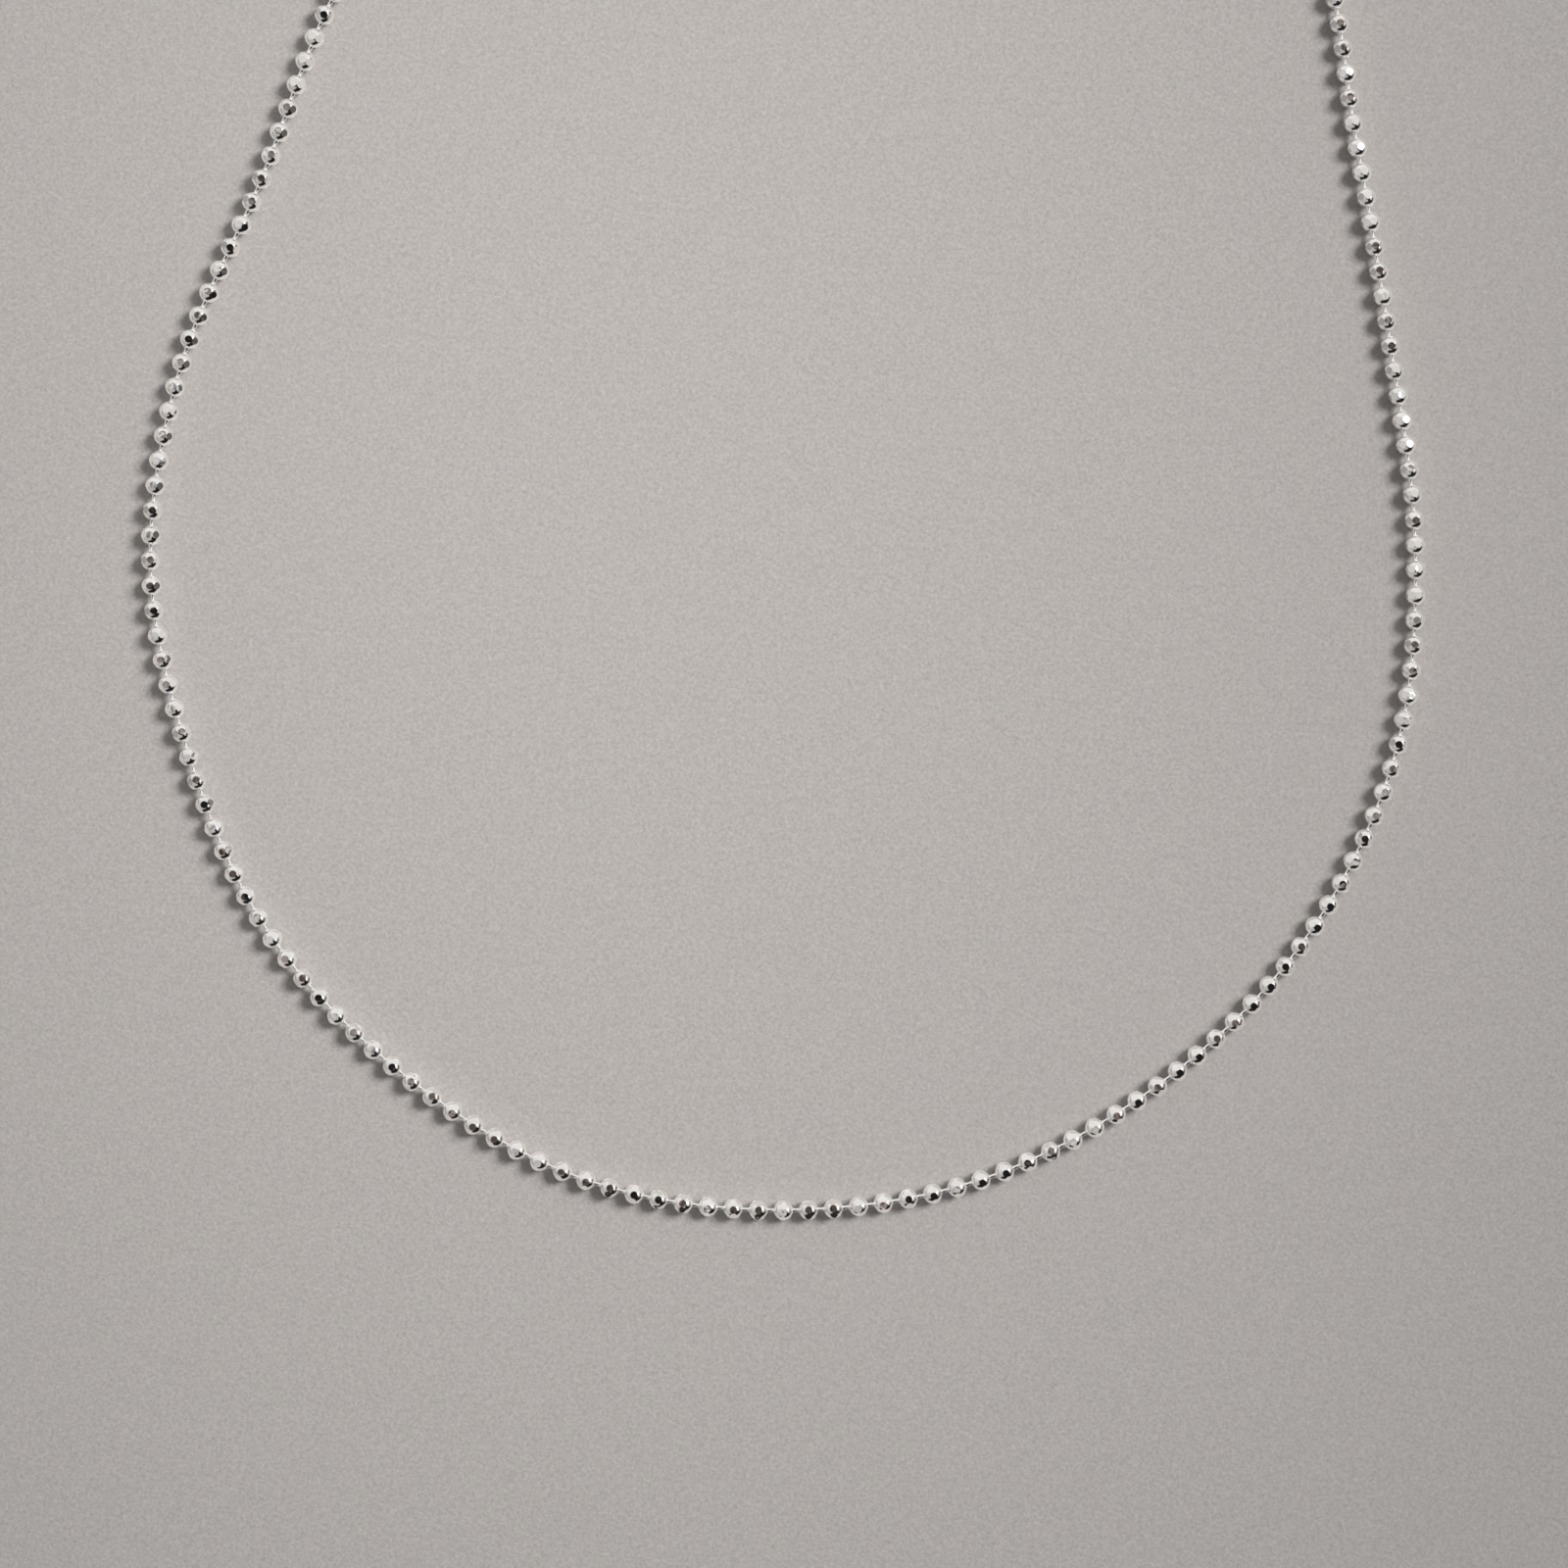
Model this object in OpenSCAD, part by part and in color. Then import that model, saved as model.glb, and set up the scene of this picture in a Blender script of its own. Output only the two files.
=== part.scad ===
// Ball chain necklace, laid flat as a closed loop with its clasp at the back.
// Millimetres. X runs across the loop, Y from the front to the clasp, Z up from the surface it lies on.

/* [Ball] */
// Outer diameter of a ball
ball_d = 2.0; // [1.5:0.05:3]
// Wall of a hollow ball
ball_wall = 0.25; // [0.15:0.01:0.4]
// Hole through a ball for the wire
hole_d = 0.6; // [0.5:0.02:0.8]
// Flats cut round each ball
flat_count = 8; // [6:1:10]
// Diameter of each flat
flat_d = 0.75; // [0.4:0.05:0.75]

/* [Chain] */
// Bare wire between two balls
ball_gap = 0.56; // [0.3:0.02:1.5]
// Thickness of the link wire
wire_d = 0.36; // [0.24:0.02:0.4]
// Picks how far each ball is turned on the wire
turn_seed = 7; // [1:1:50]

/* [End rings] */
// Wire of the ring at each end of the chain
ring_wire_d = 0.4; // [0.3:0.02:0.6]
// Room between an end ring and the clasp tube that it can hold
ring_play = 0.35; // [0.2:0.05:0.8]

/* [Clasp] */
// Outer diameter of the clasp ring
clasp_d = 6; // [5:0.1:9]
// Thickness of the clasp tube
clasp_tube_d = 1.1; // [0.8:0.1:1.6]
// Wire of the small lug on the clasp
lug_wire_d = 0.5; // [0.4:0.05:0.8]
// Room between the left end ring and the clasp side of the lug
lug_play = 0.25; // [0.15:0.05:0.6]
// Clearance between the clasp tube and the ring wire below it
seat_gap = 0.05; // [0.05:0.01:0.2]
// Diameter of the thumb knob
knob_d = 0.7; // [0.4:0.1:1]
// Height of the thumb knob above the clasp tube
knob_h = 0.5; // [0.2:0.1:1]
// Place of the thumb knob round the clasp, in degrees from the right side
knob_angle = 55; // [40:5:140]

/* [Hidden] */

// Chosen points of the loop, from the clasp down the left side, round the front and up the right side
route = [
    [5.5, 77.5], [-17, 72], [-35.5, 59], [-45, 45.5], [-53.5, 24.5], [-61.5, 6], [-64.5, -15.5],
    [-61, -32.5], [-53, -51], [-39, -66], [-20, -77], [1.5, -80], [20, -77], [38, -67.5],
    [52.5, -53.5], [62.5, -33.5], [64.5, -11.5], [62, 8], [58.5, 29], [54, 51], [42, 67], [25, 75.5]
];
// Steps from one chosen point to the next
steps = 12;
// Sides of the link wire
wire_sides = 6;
// Distance between the ends of two wires inside one ball
inside_gap = 0.2;

ball_r = ball_d / 2;
ring_wire_r = ring_wire_d / 2;
tube_r = clasp_tube_d / 2;
clasp_r = clasp_d / 2 - tube_r;
ring_r = tube_r + ring_wire_r + ring_play;
// The clasp lies on the wires of the two end rings, and each end ring leans until it meets the surface
clasp_z = ring_wire_d + seat_gap + tube_r;
ring_lean = asin((clasp_z - ring_wire_r) / ring_r);
lug_r = (ring_r + ring_wire_r + lug_play + lug_wire_d / 2) / 2;
lug_x = clasp_d / 2 + lug_r;
// Places of the end rings and of the last balls, measured from the middle of the clasp
ring_left_x = lug_x + lug_r;
ring_right_x = clasp_r;
end_reach = ring_r + ring_wire_r + ball_gap + ball_r;
left_arm = ring_left_x + end_reach;
right_arm = ring_right_x + end_reach;

// A smooth closed curve through the chosen points
function wrap(i) = (i + len(route)) % len(route);
function leg(i) = route[wrap(i + 1)] - route[wrap(i)];
function tangent(i) = let (before = norm(leg(i - 1)), after = norm(leg(i)))
    (leg(i - 1) / before * after + leg(i) / after * before) / (before + after);
function curve(i, u) = (2 * u ^ 3 - 3 * u ^ 2 + 1) * route[wrap(i)]
    + (3 * u ^ 2 - 2 * u ^ 3) * route[wrap(i + 1)]
    + (u ^ 3 - 2 * u ^ 2 + u) * norm(leg(i)) * tangent(i)
    + (u ^ 3 - u ^ 2) * norm(leg(i)) * tangent(i + 1);
path = [for (i = [0:len(route) - 1], k = [0:steps - 1]) curve(i, k / steps), route[0]];
spans = [for (i = [1:len(path) - 1]) norm(path[i] - path[i - 1])];
run = [for (i = 0, s = 0; i <= len(spans); s = s + (i < len(spans) ? spans[i] : 0), i = i + 1) s];
loop_length = run[len(spans)];
path_x = [for (i = [0:len(spans)]) [run[i], path[i].x]];
path_y = [for (i = [0:len(spans)]) [run[i], path[i].y]];
function place(s) = [lookup(s, path_x), lookup(s, path_y)];

// Balls at even steps along the loop, with room left for the clasp at its first point
links = round((loop_length - left_arm - right_arm) / (ball_d + ball_gap));
pitch = (loop_length - left_arm - right_arm) / links;
middle = floor(links / 2);
balls = [for (k = [0:links]) place(left_arm + k * pitch)];
turns = rands(0, 360 / flat_count, links + 1, turn_seed);
clasp_place = route[0];

// A ball lines up with the mean of the wire that comes in and the wire that goes out
function heading(v) = atan2(v.y, v.x);
function way_in(k) = balls[k] - (k > 0 ? balls[k - 1] : clasp_place);
function way_out(k) = (k < links ? balls[k + 1] : clasp_place) - balls[k];
function ball_heading(k) = heading(way_in(k) / norm(way_in(k)) + way_out(k) / norm(way_out(k)));

// A hollow ball with its hole along Z and its flats round it
module ball() {
    flat_place = sqrt(ball_r ^ 2 - (flat_d / 2) ^ 2);
    difference() {
        sphere(r = ball_r, $fn = 48);
        for (k = [0:flat_count - 1])
            rotate([0, 0, 360 / flat_count * k])
                translate([flat_place, -ball_r, -ball_r]) cube([ball_r, ball_d, ball_d]);
        sphere(r = ball_r - ball_wall, $fn = 48);
        translate([0, 0, -ball_d]) cylinder(d = hole_d, h = 2 * ball_d, $fn = 32);
    }
}

module ball_run(first, last) {
    for (k = [first:last])
        translate([balls[k].x, balls[k].y, ball_r])
            rotate([0, 0, ball_heading(k)])
                rotate([0, 90, 0]) rotate([0, 0, turns[k]]) ball();
}

module balls_left() {
    color("silver") ball_run(0, middle);
}

module balls_right() {
    color("silver") ball_run(middle + 1, links);
}

// One thin wire from ball to ball, straight between them
module link_wire() {
    corners = [for (k = [0:links], a = [0:wire_sides - 1])
        let (side = ball_heading(k) - 90, turn = 360 / wire_sides * a)
        [
            balls[k].x + wire_d / 2 * cos(turn) * cos(side),
            balls[k].y + wire_d / 2 * cos(turn) * sin(side),
            ball_r + wire_d / 2 * sin(turn)
        ]];
    sides = [for (k = [0:links - 1], a = [0:wire_sides - 1])
        let (here = k * wire_sides, next = here + wire_sides, b = (a + 1) % wire_sides)
        [here + a, here + b, next + b, next + a]];
    first_end = [for (a = [wire_sides - 1:-1:0]) a];
    last_end = [for (a = [0:wire_sides - 1]) links * wire_sides + a];
    color("silver") polyhedron(points = corners, faces = concat(sides, [first_end, last_end]), convexity = 10);
}

// A round rod from one point to another
module rod(from, to, d) {
    way = to - from;
    translate(from)
        rotate([0, acos(way.z / norm(way)), heading(way)])
            cylinder(d = d, h = norm(way), $fn = 32);
}

// A ring that leans on the surface, with its stem into the last ball of the chain
module end_ring(arm, ring_x) {
    color("silver") {
        translate([ring_x, 0, clasp_z])
            rotate([ring_lean, 0, 0])
                rotate_extrude($fn = 64) translate([ring_r, 0]) circle(r = ring_wire_r, $fn = 24);
        rod([ring_x + ring_r, 0, clasp_z], [arm - inside_gap, 0, ball_r], wire_d);
    }
}

module at_clasp(ball) {
    translate([clasp_place.x, clasp_place.y, 0]) rotate([0, 0, heading(ball - clasp_place)]) children();
}

module end_ring_left() {
    at_clasp(balls[0]) end_ring(left_arm, ring_left_x);
}

module end_ring_right() {
    at_clasp(balls[links]) end_ring(right_arm, ring_right_x);
}

module clasp() {
    color("silver") at_clasp(balls[0]) translate([0, 0, clasp_z]) {
        rotate_extrude($fn = 96) translate([clasp_r, 0]) circle(r = tube_r, $fn = 32);
        translate([lug_x, 0, 0])
            rotate_extrude($fn = 64) translate([lug_r, 0]) circle(d = lug_wire_d, $fn = 24);
        rotate([0, 0, 180 + knob_angle])
            translate([clasp_r, 0, 0])
                rotate([0, 90, 0]) cylinder(d = knob_d, h = tube_r + knob_h, $fn = 32);
    }
}

balls_left();
balls_right();
link_wire();
end_ring_left();
end_ring_right();
clasp();
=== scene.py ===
"""Looks for the ball chain necklace: cut silver balls on fine wire links, in a loop on grey card.

Everything is in metres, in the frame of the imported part, and the chain follows the part's own route.
"""

import math

import bmesh
import bpy
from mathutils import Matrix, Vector


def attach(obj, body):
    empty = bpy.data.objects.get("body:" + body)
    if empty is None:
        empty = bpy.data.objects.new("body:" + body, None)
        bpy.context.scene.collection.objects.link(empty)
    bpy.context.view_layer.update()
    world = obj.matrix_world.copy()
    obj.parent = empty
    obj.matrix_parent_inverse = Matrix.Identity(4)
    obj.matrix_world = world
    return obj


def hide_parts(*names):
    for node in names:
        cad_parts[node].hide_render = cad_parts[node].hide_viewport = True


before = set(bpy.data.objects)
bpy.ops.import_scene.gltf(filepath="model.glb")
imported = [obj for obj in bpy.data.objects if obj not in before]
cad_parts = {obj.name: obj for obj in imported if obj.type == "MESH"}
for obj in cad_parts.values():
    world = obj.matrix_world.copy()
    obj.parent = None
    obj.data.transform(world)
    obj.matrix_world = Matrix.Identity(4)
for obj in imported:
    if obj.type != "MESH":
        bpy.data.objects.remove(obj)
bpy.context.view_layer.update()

MM = 0.001

# The ball, with its hole along its axis and its flats round it
BALL_RADIUS = 1.0 * MM
FLAT_COUNT = 8
FLAT_RADIUS = 0.375 * MM
# Corners of the upper half of a flat's rim, as angles round the flat
RIM_ANGLES = [math.radians(a) for a in (135, 105, 75, 45)]
# Ends of the short ridge where two flats meet, as an angle round the flat
RIDGE_ANGLE = math.radians(15)
# Rings of corners from the flats to the hole, as angles from the axis
SHOULDER_ANGLE = math.radians(52)
CROWN_ANGLE = math.radians(34)
MOUTH_ANGLE = math.radians(14)
# The shading of the round faces tilts along the axis by this share of a true ball's tilt
AXIAL_TILT = 0.78
# A face is in the hole if all its corners are nearer the axis than the mouth's radius times this
HOLE_MARGIN = 1.01

# The wire link, as the distance from its middle and the radius there, from the middle to one end
WIRE_SIDES = 8
LINK_PROFILE = [
    (0.18 * MM, 0.21 * MM),
    (0.28 * MM, 0.235 * MM),
    (0.35 * MM, 0.25 * MM),
    (0.8 * MM, 0.17 * MM),
]

# The chain, with its first and its last ball this far along the line from the clasp
BALL_COUNT = 174
LEFT_ARM = 7.66 * MM
RIGHT_ARM = 5.31 * MM
# The flats come to lean outwards by this much, between these two shares of the chain's length
OUTWARD_LEAN = math.radians(8)
LEAN_START = 0.3
LEAN_END = 0.75
# The most that chance turns a ball on the wire, and tilts it
TURN_SPREAD = math.radians(11)
TILT_SPREAD = math.radians(6)
CHAIN_SEED = 5

# Chosen points of the loop in millimetres, from the clasp down the left side, round the front
# and up the right side
ROUTE = [
    (5.5, 77.5), (-17, 72), (-35.5, 59), (-45, 45.5), (-53.5, 24.5), (-61.5, 6), (-64.5, -15.5),
    (-61, -32.5), (-53, -51), (-39, -66), (-20, -77), (1.5, -80), (20, -77), (38, -67.5),
    (52.5, -53.5), (62.5, -33.5), (64.5, -11.5), (62, 8), (58.5, 29), (54, 51), (42, 67), (25, 75.5),
]
ROUTE_STEPS = 12

# Marks on the silver: the noise at which scratches and haze begin, and at which they are full
SCRATCH_RANGE = (0.46, 0.6)
HAZE_RANGE = (0.35, 0.7)
# Scale of the haze, as a share of the scratches' scale
HAZE_SCALE = 0.2

# Silver of the balls. A pair is the value where a mask is 0, and what it gains where the mask is 1
BALL_BRIGHT = (0.93, 0.92, 0.905, 1)
BALL_HAZY = (0.89, 0.87, 0.85, 1)
BALL_AT_HOLE = (0.9, 0.89, 0.88, 1)
BALL_SHADE = (0.96, 0.06)
ROUND_DULLNESS = (0.05, 0.06)
FLAT_DULLNESS = (0.02, 0.04)
BALL_SHEEN = 0.5
BALL_SHEEN_SPREAD = 0.35
# It gets duller and less metallic towards the hole, between these heights in ball radii
HOLE_ZONE = (0.7, 0.97)
HOLE_DULLNESS = 0.3
HOLE_METAL = (1.0, -0.22)
# Marks are placed in ball radii, and moved by up to this much so that no two balls look the same
BALL_MARKS_APART = 40.0
BALL_MARK_SCALE = 7.0
BALL_MARK_STRETCH = (0.6, 0.6, 3.0)
BALL_SCRATCH_STRENGTH = 0.03
BALL_SCRATCH_DEPTH = 0.01 * MM
BALL_WAVE_SCALE = 1.6
BALL_WAVE_DEPTH = 0.03 * MM

# Silver of the links, the clasp and the end rings
WIRE_SCRATCH_DULLNESS = 0.1
WIRE_SHEEN = 0.3
WIRE_SHEEN_SPREAD = 0.4
WIRE_SCRATCH_STRENGTH = 0.15
WIRE_SCRATCH_DEPTH = 0.02 * MM

# The card under the chain
CARD_SIZE = 4.0
CARD_COLOUR = (0.328, 0.31, 0.298, 1)
CARD_DULLNESS = 0.7
# Its mottled grain and fine tooth, turned so that they don't line up with the card
GRAIN_TURN = (0.6, 0.4, 0.5)
GRAIN_SCALE = 3000
GRAIN_TONE = (0.65, 0.7)
TOOTH_SCALE = 2600
TOOTH_STRENGTH = 0.4
TOOTH_DEPTH = 0.03 * MM
# Painted pool of light: lightest here, and loses this share of its tone over this distance, or more
# slowly in Y
PAINTED_LIGHT_MIDDLE = Vector((-28, 7, 0)) * MM
PAINTED_LIGHT_FALL = 0.4
FALL_REACH = 184 * MM
FALL_SHAPE = (1.0, 0.65, 1.0)
# Painted reflection light: the card's colour is this much lighter where the silver reflects it than
# where the camera sees it
PAINTED_REFLECTION_LIFT = 0.38

# The camera looks straight down on the front of the loop
VIEW_CENTRE = Vector((0.1, -36.5, 1.0)) * MM
VIEW_WIDTH = 160 * MM
CAMERA_LENS = 100
CAMERA_SENSOR = 36
CAMERA_CLIP_START = 0.01

# The key light
KEY_AZIMUTH = math.radians(27)
KEY_ELEVATION = math.radians(44)
KEY_DISTANCE = 2.4
KEY_SIZE = 0.9
KEY_POWER = 93.0
# How much brighter the studio is towards the key light, in what the silver throws on the card,
# between these two cosines of the angle to the light
KEY_GLOW = 5.0
GLOW_RANGE = (0.4, 0.9)

# The studio is a tent that gives soft light. It goes from its far to its near tone along this way,
# between these two cosines of the angle to it
TENT_WAY = (0.15, 0.98, 0.0)
TENT_RANGE = (-0.8, 0.8)
TENT_FAR = (0.46, 0.45, 0.44, 1)
TENT_NEAR = (0.86, 0.85, 0.84, 1)
SOFT_LIGHT = 0.7
# What the camera sees past the card
BACKDROP_TONE = (0.5, 0.48, 0.47, 1)
# Patches of the tent that show in reflections alone: a grey one on the right and one on the left,
# two dark ones in front, and a bright one high on the right.
# Each has the way to its middle, how fast it ends along each axis, and its tone
PATCHES = [
    ((0.97, -0.1, 0.17), (2.0, 2.2, 4.5), (0.13, 0.12, 0.115, 1)),
    ((-0.99, 0.0, 0.08), (2.0, 1.8, 4.0), (0.33, 0.32, 0.315, 1)),
    ((0.38, -0.86, 0.25), (1.15, 1.4, 2.0), (0.012, 0.011, 0.011, 1)),
    ((0.42, -0.42, 0.8), (3.6, 3.6, 2.0), (0.012, 0.011, 0.011, 1)),
    ((0.7, 0.2, 0.68), (6.5, 3.0, 6.5), (1.9, 1.9, 1.9, 1)),
]
# A patch ends softly between these two distances from its middle, counted along its own axes
PATCH_EDGE = (0.9, 1.05)
# Things overhead that show in reflections alone, with tones by the distance from their middle.
# They reach this far, and chance moves each cell of them out or in by up to half the scatter
OVERHEAD_MIDDLE = (0.0, -0.1, 1.0)
OVERHEAD_REACH = 0.42
OVERHEAD_CELL = (0.15, 0.15, 10.0)
OVERHEAD_SCATTER = 0.2
OVERHEAD_TONES = [
    (0.0, (0.012, 0.011, 0.011, 1)),
    (0.14, (0.09, 0.07, 0.062, 1)),
    (0.25, (0.31, 0.26, 0.24, 1)),
    (0.32, (0.2, 0.19, 0.185, 1)),
    (0.38, (0.62, 0.61, 0.6, 1)),
]


# Nodes

def add(tree, kind, inputs=None, **settings):
    """A new node with its settings made and its inputs set, or joined where the value is a socket."""
    made = tree.nodes.new(kind)
    for name, value in settings.items():
        setattr(made, name, value)
    for key, value in (inputs or {}).items():
        if isinstance(value, bpy.types.NodeSocket):
            tree.links.new(value, made.inputs[key])
        else:
            made.inputs[key].default_value = value
    return made


def math_of(tree, operation, *values):
    """The output of a Math node on these values or sockets."""
    return add(tree, "ShaderNodeMath", dict(enumerate(values)), operation=operation).outputs[0]


def vector_of(tree, operation, *values):
    """The vector that comes out of a Vector Math node."""
    made = add(tree, "ShaderNodeVectorMath", dict(enumerate(values)), operation=operation)
    return made.outputs["Vector"]


def measure_of(tree, operation, *values):
    """The number that comes out of a Vector Math node, such as a length."""
    made = add(tree, "ShaderNodeVectorMath", dict(enumerate(values)), operation=operation)
    return made.outputs["Value"]


def mix_colour(tree, share, first, second, blend="MIX"):
    """Two colours mixed by a share from 0 to 1."""
    inputs = {0: share, 6: first, 7: second}
    return add(tree, "ShaderNodeMix", inputs, data_type="RGBA", blend_type=blend).outputs[2]


def mix_value(tree, share, first, second):
    """Two numbers mixed by a share from 0 to 1."""
    return add(tree, "ShaderNodeMix", {0: share, 2: first, 3: second}).outputs[0]


def tinted(tree, colour, tone):
    """The colour, made darker or lighter by a tone."""
    grey = add(tree, "ShaderNodeCombineColor", {0: tone, 1: tone, 2: tone}).outputs[0]
    return mix_colour(tree, 1.0, colour, grey, "MULTIPLY")


def gained(tree, mask, value, gain):
    """The value where the mask is 0, with the gain on it where the mask is 1."""
    return math_of(tree, "MULTIPLY_ADD", mask, gain, value)


def remap(tree, value, low, high, to_low=0.0, to_high=1.0):
    """A value carried smoothly from one range to another, and held at its ends."""
    inputs = {"Value": value, "From Min": low, "From Max": high, "To Min": to_low, "To Max": to_high}
    return add(tree, "ShaderNodeMapRange", inputs, interpolation_type="SMOOTHSTEP").outputs[0]


def noise(tree, place, scale, detail, roughness=0.5):
    """Smooth noise at a place, from 0 to 1."""
    inputs = {"Vector": place, "Scale": scale, "Detail": detail, "Roughness": roughness}
    return add(tree, "ShaderNodeTexNoise", inputs).outputs[0]


# The line of the chain

def smooth_loop(points, steps):
    """A smooth closed curve through the points, as short straight steps that end where they start."""
    count = len(points)
    legs = [points[(i + 1) % count] - points[i] for i in range(count)]
    tangents = []
    for i in range(count):
        before, after = legs[i - 1].length, legs[i].length
        tangents.append((legs[i - 1] / before * after + legs[i] / after * before) / (before + after))
    line = []
    for i in range(count):
        start, end = points[i], points[(i + 1) % count]
        start_pull = tangents[i] * legs[i].length
        end_pull = tangents[(i + 1) % count] * legs[i].length
        for k in range(steps):
            u = k / steps
            line.append(
                (2 * u**3 - 3 * u**2 + 1) * start
                + (3 * u**2 - 2 * u**3) * end
                + (u**3 - 2 * u**2 + u) * start_pull
                + (u**3 - u**2) * end_pull
            )
    return line + [points[0]]


def chain_line():
    """The middle line of the chain, for a Geometry Nodes tree to work on."""
    loop = smooth_loop([Vector(point) for point in ROUTE], ROUTE_STEPS)
    points = [point.to_3d() * MM + Vector((0, 0, BALL_RADIUS)) for point in loop]
    curve = bpy.data.curves.new("chain_line", "CURVE")
    curve.dimensions = "3D"
    spline = curve.splines.new("POLY")
    spline.points.add(len(points) - 1)
    for target, point in zip(spline.points, points):
        target.co = (*point, 1)
    made = bpy.data.objects.new("chain_line", curve)
    bpy.context.scene.collection.objects.link(made)
    return made


# The shapes that the chain repeats

def mesh_object(name, shape):
    """An object with this shape as its mesh."""
    mesh = bpy.data.meshes.new(name)
    shape.to_mesh(mesh)
    shape.free()
    mesh.shade_smooth()
    made = bpy.data.objects.new(name, mesh)
    bpy.context.scene.collection.objects.link(made)
    return made


def ring(shape, radius, height, count, offset=0.5):
    """Corners on a level circle, the first of them this share of a step round from +X."""
    angles = [2 * math.pi * (k + offset) / count for k in range(count)]
    return [shape.verts.new((radius * math.cos(a), radius * math.sin(a), height)) for a in angles]


def half_ball(shape, side):
    """Half a ball, above or below its flats' middle, with its faces from the flats to the hole."""
    flat_distance = math.sqrt(BALL_RADIUS**2 - FLAT_RADIUS**2)
    step = 2 * math.pi / FLAT_COUNT
    ridges = ring(
        shape, flat_distance / math.cos(step / 2), side * FLAT_RADIUS * math.sin(RIDGE_ANGLE), FLAT_COUNT
    )
    up = Vector((0, 0, side))
    rims = []
    for k in range(FLAT_COUNT):
        out = Vector((math.cos(k * step), math.sin(k * step), 0))
        along = Vector((-out.y, out.x, 0))
        places = [math.cos(a) * along + math.sin(a) * up for a in RIM_ANGLES]
        rims.append([shape.verts.new(flat_distance * out + FLAT_RADIUS * place) for place in places])
    shoulder, crown, mouth = [
        ring(shape, BALL_RADIUS * math.sin(angle), side * BALL_RADIUS * math.cos(angle), count, offset)
        for angle, count, offset in (
            (SHOULDER_ANGLE, 2 * FLAT_COUNT, 0),
            (CROWN_ANGLE, FLAT_COUNT, 0.5),
            (MOUTH_ANGLE, FLAT_COUNT, 0.5),
        )
    ]
    for k in range(FLAT_COUNT):
        last, rim = k - 1, rims[k]
        left, middle, right = shoulder[2 * k - 1], shoulder[2 * k], shoulder[2 * k + 1]
        shape.faces.new((ridges[last], rim[0], rim[1], middle, left))
        shape.faces.new((rim[1], rim[2], middle))
        shape.faces.new((rim[2], rim[3], ridges[k], right, middle))
        shape.faces.new((left, middle, right, crown[k], crown[last]))
        shape.faces.new((crown[last], crown[k], mouth[k], mouth[last]))
    return ridges, rims, mouth


def cut_ball():
    """A drilled ball with its hole along Z and its flats round it, of few faces as it is repeated."""
    shape = bmesh.new()
    flat_mask = shape.faces.layers.float.new("cut_flat")
    ball_place = shape.verts.layers.float_vector.new("ball_place")
    upper_ridges, upper_rims, upper_mouth = half_ball(shape, 1)
    lower_ridges, lower_rims, lower_mouth = half_ball(shape, -1)
    for k in range(FLAT_COUNT):
        last = k - 1
        flat = shape.faces.new((
            upper_ridges[last], *upper_rims[k], upper_ridges[k],
            lower_ridges[k], *reversed(lower_rims[k]), lower_ridges[last],
        ))
        flat[flat_mask] = 1.0
        shape.faces.new((upper_mouth[last], upper_mouth[k], lower_mouth[k], lower_mouth[last]))
    bmesh.ops.recalc_face_normals(shape, faces=shape.faces)
    for corner in shape.verts:
        corner[ball_place] = corner.co / BALL_RADIUS
    ball = mesh_object("ball_shape", shape)
    round_off(ball.data)
    return ball


def round_off(mesh):
    """Shades the faces between the flats as one smooth ball, and keeps the flats and the hole crisp."""
    flat = mesh.attributes["cut_flat"].data
    mouth_radius = BALL_RADIUS * math.sin(MOUTH_ANGLE)
    tilt = Vector((1, 1, AXIAL_TILT))
    normals = []
    for face in mesh.polygons:
        corners = [mesh.vertices[v].co for v in face.vertices]
        in_hole = all(corner.xy.length < HOLE_MARGIN * mouth_radius for corner in corners)
        crisp = in_hole or flat[face.index].value > 0.5
        normals += [face.normal if crisp else (corner * tilt).normalized() for corner in corners]
    mesh.normals_split_custom_set(normals)


def wire_link():
    """A short round wire along Z that widens to a small collar where it enters the ball at each end."""
    shape = bmesh.new()
    profile = [(-height, radius) for height, radius in reversed(LINK_PROFILE)] + LINK_PROFILE
    rings = [ring(shape, radius, height, WIRE_SIDES, offset=0) for height, radius in profile]
    for lower, upper in zip(rings, rings[1:]):
        for k in range(WIRE_SIDES):
            shape.faces.new((lower[k - 1], lower[k], upper[k], upper[k - 1]))
    shape.faces.new(rings[0])
    shape.faces.new(rings[-1])
    bmesh.ops.recalc_face_normals(shape, faces=shape.faces)
    return mesh_object("link_shape", shape)


# Geometry Nodes that repeat a shape along the line of the chain

LINK_INPUTS = [
    ("Shape", "NodeSocketObject"), ("Ball Count", "NodeSocketInt"), ("Left Arm", "NodeSocketFloat"),
    ("Right Arm", "NodeSocketFloat"), ("Finish", "NodeSocketMaterial"),
]
BALL_INPUTS = LINK_INPUTS + [
    ("Seed", "NodeSocketInt"), ("Outward Lean", "NodeSocketFloat"),
    ("Turn Spread", "NodeSocketFloat"), ("Tilt Spread", "NodeSocketFloat"),
]


def new_geometry_tree(name, inputs):
    """A new tree with its geometry and these inputs, and the sockets that give them."""
    tree = bpy.data.node_groups.new(name, "GeometryNodeTree")
    tree.interface.new_socket("Geometry", in_out="INPUT", socket_type="NodeSocketGeometry")
    tree.interface.new_socket("Geometry", in_out="OUTPUT", socket_type="NodeSocketGeometry")
    for label, kind in inputs:
        tree.interface.new_socket(label, in_out="INPUT", socket_type=kind)
    return tree, tree.nodes.new("NodeGroupInput").outputs


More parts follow.
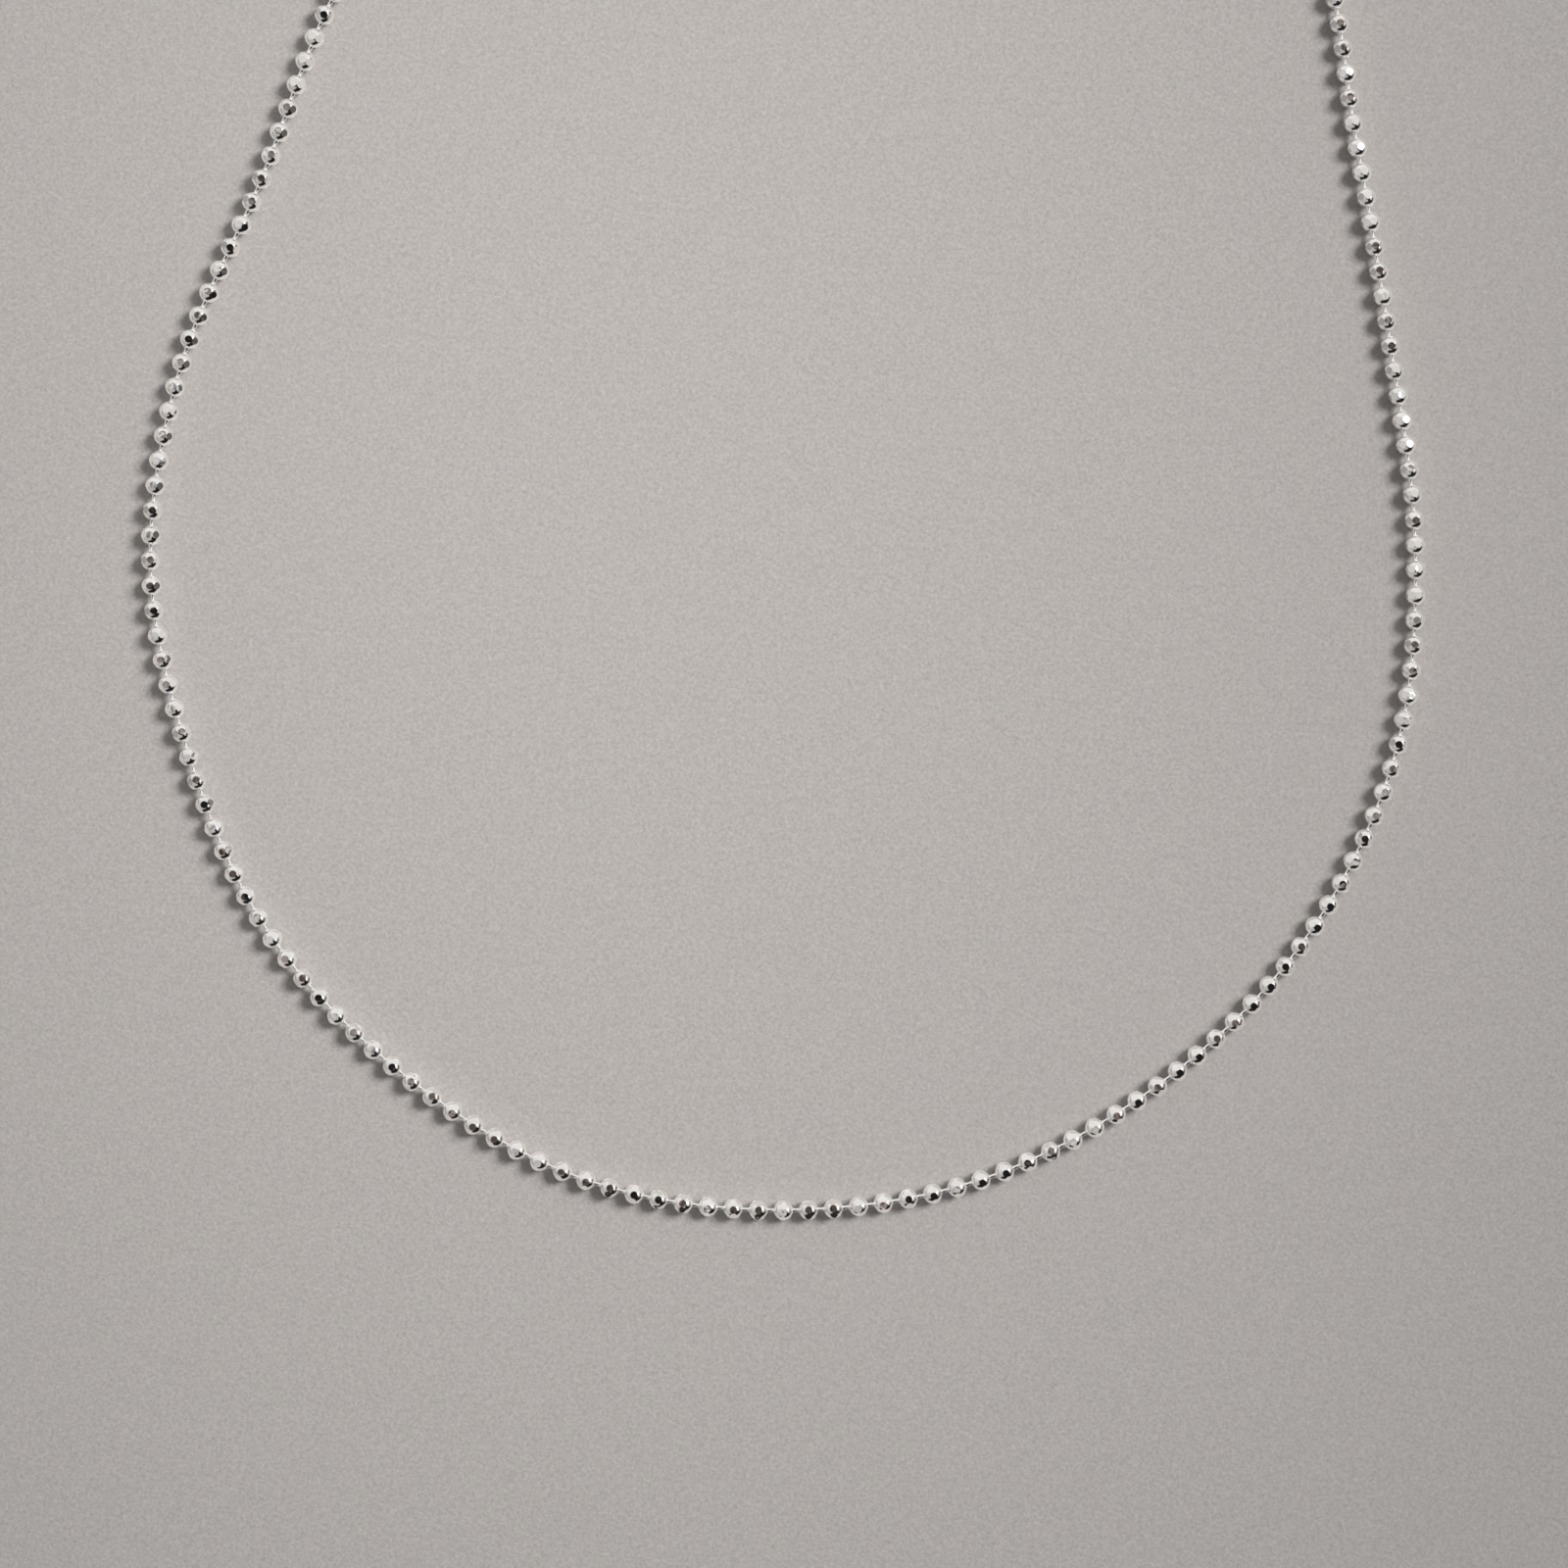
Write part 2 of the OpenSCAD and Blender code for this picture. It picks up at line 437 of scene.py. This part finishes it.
def even_places(tree, given):
    """The line of the chain without its two ends at the clasp, in straight steps from ball to ball."""
    length = add(tree, "GeometryNodeCurveLength", {0: given["Geometry"]}).outputs[0]
    end = math_of(tree, "SUBTRACT", length, given["Right Arm"])
    ends = {0: given["Geometry"], 4: given["Left Arm"], 5: end}
    trimmed = add(tree, "GeometryNodeTrimCurve", ends, mode="LENGTH").outputs[0]
    steps = {0: trimmed, 2: given["Ball Count"]}
    return add(tree, "GeometryNodeResampleCurve", steps, mode="COUNT").outputs[0]


def turn_along(tree, way):
    """The rotation that turns Z along the way and X as far up as it goes."""
    axes = {"Primary Axis": way, "Secondary Axis": (0, 0, 1)}
    return add(
        tree, "FunctionNodeAxesToRotation", axes, primary_axis="Z", secondary_axis="X"
    ).outputs[0]


def shape_at(tree, given, points, rotation):
    """The shape at each point, turned."""
    shape = add(tree, "GeometryNodeObjectInfo", {"Object": given["Shape"]}).outputs["Geometry"]
    inputs = {"Points": points, "Instance": shape, "Rotation": rotation}
    return add(tree, "GeometryNodeInstanceOnPoints", inputs).outputs[0]


def finish_tree(tree, given, placed):
    """Ends the tree with the placed shapes made real and given their finish."""
    real = add(tree, "GeometryNodeRealizeInstances", {0: placed}).outputs[0]
    finished = add(tree, "GeometryNodeSetMaterial", {0: real, "Material": given["Finish"]})
    add(tree, "NodeGroupOutput", {0: finished.outputs[0]})


def balls_tree():
    """A ball at each place, its hole along the chain and one flat nearly up.

    The flats lean outwards more and more along the chain, and chance turns and tilts each ball a little.
    """
    tree, given = new_geometry_tree("balls along the chain", BALL_INPUTS)
    places = even_places(tree, given)
    level = turn_along(tree, add(tree, "GeometryNodeInputTangent").outputs[0])
    spread = add(
        tree, "ShaderNodeCombineXYZ",
        {0: given["Tilt Spread"], 1: given["Tilt Spread"], 2: given["Turn Spread"]},
    ).outputs[0]
    chance = add(
        tree, "FunctionNodeRandomValue", {0: (-1, -1, -1), 1: (1, 1, 1), "Seed": given["Seed"]},
        data_type="FLOAT_VECTOR",
    ).outputs[0]
    along = add(tree, "GeometryNodeSplineParameter").outputs["Factor"]
    lean = remap(tree, along, LEAN_START, LEAN_END)
    lean = math_of(tree, "MULTIPLY", lean, given["Outward Lean"])
    lean = add(tree, "ShaderNodeCombineXYZ", {2: lean}).outputs[0]
    turn = vector_of(tree, "ADD", vector_of(tree, "MULTIPLY", chance, spread), lean)
    turn = add(tree, "FunctionNodeEulerToRotation", {0: turn}).outputs[0]
    both = {"Rotation": level, "Rotate By": turn}
    rotation = add(tree, "FunctionNodeRotateRotation", both, rotation_space="LOCAL").outputs[0]
    range_and_seed = {2: 0.0, 3: 1.0, "Seed": math_of(tree, "ADD", given["Seed"], 1)}
    tone = add(tree, "FunctionNodeRandomValue", range_and_seed, data_type="FLOAT").outputs[1]
    placed = shape_at(tree, given, places, rotation)
    toned = add(
        tree, "GeometryNodeStoreNamedAttribute",
        {"Geometry": placed, "Name": "ball_tone", "Value": tone},
        data_type="FLOAT", domain="INSTANCE",
    ).outputs[0]
    finish_tree(tree, given, toned)
    return tree


def links_tree():
    """A wire link in the middle of each step from ball to ball."""
    tree, given = new_geometry_tree("links between the balls", LINK_INPUTS)
    steps = add(tree, "GeometryNodeCurveToMesh", {0: even_places(tree, given)}).outputs[0]
    ends = add(tree, "GeometryNodeInputMeshEdgeVertices").outputs
    way = vector_of(tree, "SUBTRACT", ends["Position 2"], ends["Position 1"])
    held = add(tree, "GeometryNodeCaptureAttribute", {0: steps}, domain="EDGE")
    held.capture_items.new("VECTOR", "Way")
    tree.links.new(way, held.inputs["Way"])
    middles = add(tree, "GeometryNodeMeshToPoints", {"Mesh": held.outputs[0]}, mode="EDGES").outputs[0]
    rotation = turn_along(tree, held.outputs["Way"])
    finish_tree(tree, given, shape_at(tree, given, middles, rotation))
    return tree


def run_tree(name, line, tree, values):
    """The plain mesh that a tree makes from the line."""
    modifier = line.modifiers.new(name, "NODES")
    modifier.node_group = tree
    for item in tree.interface.items_tree:
        if item.in_out == "INPUT" and item.name in values:
            modifier[item.identifier] = values[item.name]
    bpy.context.view_layer.update()
    evaluated = line.evaluated_get(bpy.context.evaluated_depsgraph_get())
    mesh = bpy.data.meshes.new_from_object(evaluated)
    mesh.name = name
    line.modifiers.remove(modifier)
    made = bpy.data.objects.new(name, mesh)
    bpy.context.scene.collection.objects.link(made)
    return made


# Finishes

def new_material(name):
    """A new material, with its node tree and its shader."""
    material = bpy.data.materials.new(name)
    material.use_nodes = True
    tree = material.node_tree
    return material, tree, tree.nodes["Principled BSDF"]


def polish_marks_group():
    """Fine scratches and slow changes of polish, as silver that is handled has."""
    group = bpy.data.node_groups.new("polish marks", "ShaderNodeTree")
    for label, kind in (
        ("Place", "NodeSocketVector"),
        ("Mark Scale", "NodeSocketFloat"),
        ("Stretch", "NodeSocketVector"),
    ):
        group.interface.new_socket(label, in_out="INPUT", socket_type=kind)
    for label in ("Scratches", "Haze"):
        group.interface.new_socket(label, in_out="OUTPUT", socket_type="NodeSocketFloat")
    given = group.nodes.new("NodeGroupInput").outputs
    stretched = vector_of(group, "MULTIPLY", given["Place"], given["Stretch"])
    fine = noise(group, stretched, given["Mark Scale"], detail=3, roughness=0.7)
    haze_scale = math_of(group, "MULTIPLY", given["Mark Scale"], HAZE_SCALE)
    wide = noise(group, given["Place"], haze_scale, detail=1)
    marks = {"Scratches": remap(group, fine, *SCRATCH_RANGE), "Haze": remap(group, wide, *HAZE_RANGE)}
    add(group, "NodeGroupOutput", marks)
    return group


def polish_marks(tree, marks, place, mark_scale, stretch):
    """The scratches and the haze of the polish marks, at a place and with a material's own values."""
    inputs = {"Place": place, "Mark Scale": mark_scale, "Stretch": stretch}
    return add(tree, "ShaderNodeGroup", inputs, node_tree=marks).outputs


def ball_silver(marks):
    """Polished silver: soft on the round, a mirror with fine marks on the flats, dull at the hole."""
    material, tree, shader = new_material("cut silver balls")
    flat = add(tree, "ShaderNodeAttribute", attribute_name="cut_flat").outputs["Fac"]
    place = add(tree, "ShaderNodeAttribute", attribute_name="ball_place").outputs["Vector"]
    tone = add(tree, "ShaderNodeAttribute", attribute_name="ball_tone").outputs["Fac"]
    apart = math_of(tree, "MULTIPLY", tone, BALL_MARKS_APART)
    apart = add(tree, "ShaderNodeCombineXYZ", {0: apart}).outputs[0]
    own_place = vector_of(tree, "ADD", place, apart)
    wear = polish_marks(tree, marks, own_place, BALL_MARK_SCALE, BALL_MARK_STRETCH)
    height = add(tree, "ShaderNodeSeparateXYZ", {0: place}).outputs["Z"]
    near_hole = remap(tree, math_of(tree, "ABSOLUTE", height), *HOLE_ZONE)
    colour = mix_colour(tree, wear["Haze"], BALL_BRIGHT, BALL_HAZY)
    colour = mix_colour(tree, near_hole, colour, BALL_AT_HOLE)
    colour = tinted(tree, colour, gained(tree, tone, *BALL_SHADE))
    tree.links.new(colour, shader.inputs["Base Color"])
    round_dullness = gained(tree, wear["Haze"], *ROUND_DULLNESS)
    flat_dullness = gained(tree, wear["Scratches"], *FLAT_DULLNESS)
    dullness = mix_value(tree, flat, round_dullness, flat_dullness)
    dullness = mix_value(tree, near_hole, dullness, HOLE_DULLNESS)
    tree.links.new(dullness, shader.inputs["Roughness"])
    tree.links.new(gained(tree, near_hole, *HOLE_METAL), shader.inputs["Metallic"])
    shader.inputs["Sheen Weight"].default_value = BALL_SHEEN
    shader.inputs["Sheen Roughness"].default_value = BALL_SHEEN_SPREAD
    waves = add(tree, "ShaderNodeBump", {
        "Strength": 1.0, "Distance": BALL_WAVE_DEPTH,
        "Height": noise(tree, own_place, BALL_WAVE_SCALE, detail=0),
    })
    scratches = add(tree, "ShaderNodeBump", {
        "Strength": BALL_SCRATCH_STRENGTH, "Distance": BALL_SCRATCH_DEPTH,
        "Height": wear["Scratches"], "Normal": waves.outputs[0],
    })
    tree.links.new(scratches.outputs[0], shader.inputs["Normal"])
    return material


def wire_silver(name, marks, mark_scale, bright, hazy, dullness):
    """Drawn silver with faint handling marks."""
    material, tree, shader = new_material(name)
    place = add(tree, "ShaderNodeTexCoord").outputs["Object"]
    wear = polish_marks(tree, marks, place, mark_scale, (1.0, 1.0, 1.0))
    tree.links.new(mix_colour(tree, wear["Haze"], bright, hazy), shader.inputs["Base Color"])
    dullness = gained(tree, wear["Scratches"], dullness, WIRE_SCRATCH_DULLNESS)
    tree.links.new(dullness, shader.inputs["Roughness"])
    shader.inputs["Metallic"].default_value = 1.0
    shader.inputs["Sheen Weight"].default_value = WIRE_SHEEN
    shader.inputs["Sheen Roughness"].default_value = WIRE_SHEEN_SPREAD
    scratches = add(tree, "ShaderNodeBump", {
        "Strength": WIRE_SCRATCH_STRENGTH, "Distance": WIRE_SCRATCH_DEPTH,
        "Height": wear["Scratches"],
    })
    tree.links.new(scratches.outputs[0], shader.inputs["Normal"])
    return material


def grey_card():
    """Smooth grey card with fine mottled grain, a painted pool of light fading to its edges, and a
    painted lift in reflections.
    """
    material, tree, shader = new_material("grey card")
    place = add(tree, "ShaderNodeTexCoord").outputs["Object"]
    turned = add(tree, "ShaderNodeMapping", {"Vector": place, "Rotation": GRAIN_TURN}).outputs[0]
    grain = noise(tree, turned, GRAIN_SCALE, detail=1.5, roughness=0.9)
    tone = gained(tree, grain, *GRAIN_TONE)
    # Painted pool of light: the card's colour darkens away from its lit middle
    away = vector_of(tree, "MULTIPLY", vector_of(tree, "SUBTRACT", place, PAINTED_LIGHT_MIDDLE), FALL_SHAPE)
    fall = remap(tree, measure_of(tree, "LENGTH", away), 0, FALL_REACH, 1, 1 - PAINTED_LIGHT_FALL)
    tone = math_of(tree, "MULTIPLY", tone, fall)
    # Painted reflection light: the card is drawn lighter in the silver's reflections
    reflected = add(tree, "ShaderNodeLightPath").outputs["Is Glossy Ray"]
    tone = math_of(tree, "MULTIPLY", tone, gained(tree, reflected, 1.0, PAINTED_REFLECTION_LIFT))
    tree.links.new(tinted(tree, CARD_COLOUR, tone), shader.inputs["Base Color"])
    shader.inputs["Roughness"].default_value = CARD_DULLNESS
    tooth = add(tree, "ShaderNodeBump", {
        "Strength": TOOTH_STRENGTH, "Distance": TOOTH_DEPTH,
        "Height": noise(tree, turned, TOOTH_SCALE, detail=0),
    })
    tree.links.new(tooth.outputs[0], shader.inputs["Normal"])
    return material


# The studio

def make_floor():
    """The card that the chain lies on, which is no part of it."""
    shape = bmesh.new()
    bmesh.ops.create_grid(shape, x_segments=1, y_segments=1, size=CARD_SIZE / 2)
    floor = mesh_object("card", shape)
    floor.data.materials.append(grey_card())


def key_way():
    """The way from the chain to the key light."""
    level = math.cos(KEY_ELEVATION)
    return Vector((
        level * math.cos(KEY_AZIMUTH), level * math.sin(KEY_AZIMUTH), math.sin(KEY_ELEVATION),
    ))


def make_key_light():
    """One large soft light from the right, which the silver doesn't show."""
    light = bpy.data.lights.new("key light", "AREA")
    light.size = KEY_SIZE
    light.energy = KEY_POWER
    lamp = bpy.data.objects.new("key light", light)
    bpy.context.scene.collection.objects.link(lamp)
    lamp.location = VIEW_CENTRE + KEY_DISTANCE * key_way()
    lamp.rotation_euler = key_way().to_track_quat("Z", "Y").to_euler()
    lamp.visible_glossy = False


def overhead_tone(tree, way, outwards):
    """The tones of the things overhead, in plain steps outwards from their middle."""
    cell = vector_of(tree, "SNAP", way, OVERHEAD_CELL)
    chance = add(tree, "ShaderNodeTexWhiteNoise", {"Vector": cell}, noise_dimensions="3D")
    scattered = gained(tree, chance.outputs["Value"], outwards, OVERHEAD_SCATTER)
    ramp = add(tree, "ShaderNodeValToRGB", {0: scattered})
    ramp.color_ramp.interpolation = "CONSTANT"
    while len(ramp.color_ramp.elements) < len(OVERHEAD_TONES):
        ramp.color_ramp.elements.new(1.0)
    for element, (distance, tone) in zip(ramp.color_ramp.elements, OVERHEAD_TONES):
        element.position = distance + OVERHEAD_SCATTER / 2
        element.color = tone
    ramp.color_ramp.elements[0].position = 0
    return ramp.outputs[0]


def make_studio():
    """A bright tent that gives soft light, with patches and things overhead in reflections alone."""
    world = bpy.data.worlds.new("studio")
    bpy.context.scene.world = world
    world.use_nodes = True
    tree = world.node_tree
    tree.nodes.clear()
    way = add(tree, "ShaderNodeTexCoord").outputs["Generated"]
    nearness = remap(tree, measure_of(tree, "DOT_PRODUCT", way, TENT_WAY), *TENT_RANGE)
    tent = mix_colour(tree, nearness, TENT_FAR, TENT_NEAR)
    outwards = measure_of(tree, "DISTANCE", way, OVERHEAD_MIDDLE)
    is_overhead = math_of(tree, "LESS_THAN", outwards, OVERHEAD_REACH)
    seen = mix_colour(tree, is_overhead, tent, overhead_tone(tree, way, outwards))
    for middle, sharpness, tone in PATCHES:
        middle = Vector([m * k for m, k in zip(middle, sharpness)])
        reach = measure_of(tree, "DISTANCE", vector_of(tree, "MULTIPLY", way, sharpness), middle)
        seen = mix_colour(tree, remap(tree, reach, *PATCH_EDGE, 1, 0), seen, tone)
    ray = add(tree, "ShaderNodeLightPath").outputs
    plain = mix_colour(tree, ray["Is Camera Ray"], tent, BACKDROP_TONE)
    soft_light = add(tree, "ShaderNodeBackground", {"Color": plain, "Strength": SOFT_LIGHT})
    toward_key = remap(tree, measure_of(tree, "DOT_PRODUCT", way, key_way()), *GLOW_RANGE)
    glow = math_of(tree, "MULTIPLY", toward_key, ray["Diffuse Depth"])
    glow = gained(tree, glow, 1.0, KEY_GLOW)
    reflected = add(tree, "ShaderNodeBackground", {"Color": seen, "Strength": glow})
    both = add(tree, "ShaderNodeMixShader", {
        0: ray["Is Glossy Ray"], 1: soft_light.outputs[0], 2: reflected.outputs[0],
    })
    add(tree, "ShaderNodeOutputWorld", {"Surface": both.outputs[0]})


def make_camera():
    """Straight down, with the whole frame as wide as the photograph shows at the height of the balls."""
    camera = bpy.data.cameras.new("camera")
    camera.lens = CAMERA_LENS
    camera.sensor_width = CAMERA_SENSOR
    camera.clip_start = CAMERA_CLIP_START
    made = bpy.data.objects.new("camera", camera)
    bpy.context.scene.collection.objects.link(made)
    distance = VIEW_WIDTH * CAMERA_LENS / CAMERA_SENSOR
    made.location = VIEW_CENTRE + Vector((0, 0, distance))
    bpy.context.scene.camera = made


def make_chain(marks):
    """The balls and the links, in place of the part's own."""
    line, ball, link = chain_line(), cut_ball(), wire_link()
    shared = {"Ball Count": BALL_COUNT, "Left Arm": LEFT_ARM, "Right Arm": RIGHT_ARM}
    balls = run_tree("balls", line, balls_tree(), {
        **shared, "Shape": ball, "Finish": ball_silver(marks), "Seed": CHAIN_SEED,
        "Outward Lean": OUTWARD_LEAN, "Turn Spread": TURN_SPREAD, "Tilt Spread": TILT_SPREAD,
    })
    finish = wire_silver(
        "drawn silver wire", marks, mark_scale=1500,
        bright=(0.97, 0.96, 0.95, 1), hazy=(0.92, 0.9, 0.88, 1), dullness=0.06,
    )
    links = run_tree("links", line, links_tree(), {**shared, "Shape": link, "Finish": finish})
    for shape in (ball, link, line):
        bpy.data.objects.remove(shape)
    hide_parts("balls_left", "balls_right")
    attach(balls, "root")
    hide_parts("link_wire")
    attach(links, "root")


def finish_clasp(marks):
    """Softly worn silver on the part's own clasp and end rings."""
    finish = wire_silver(
        "clasp silver", marks, mark_scale=900,
        bright=(0.92, 0.91, 0.9, 1), hazy=(0.84, 0.82, 0.8, 1), dullness=0.14,
    )
    for node in ("clasp", "end_ring_left", "end_ring_right"):
        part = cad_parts[node]
        part.data.materials.clear()
        part.data.materials.append(finish)


def main():
    make_camera()
    bpy.context.scene.view_settings.view_transform = "Standard"
    marks = polish_marks_group()
    make_chain(marks)
    finish_clasp(marks)
    make_floor()
    make_key_light()
    make_studio()


main()
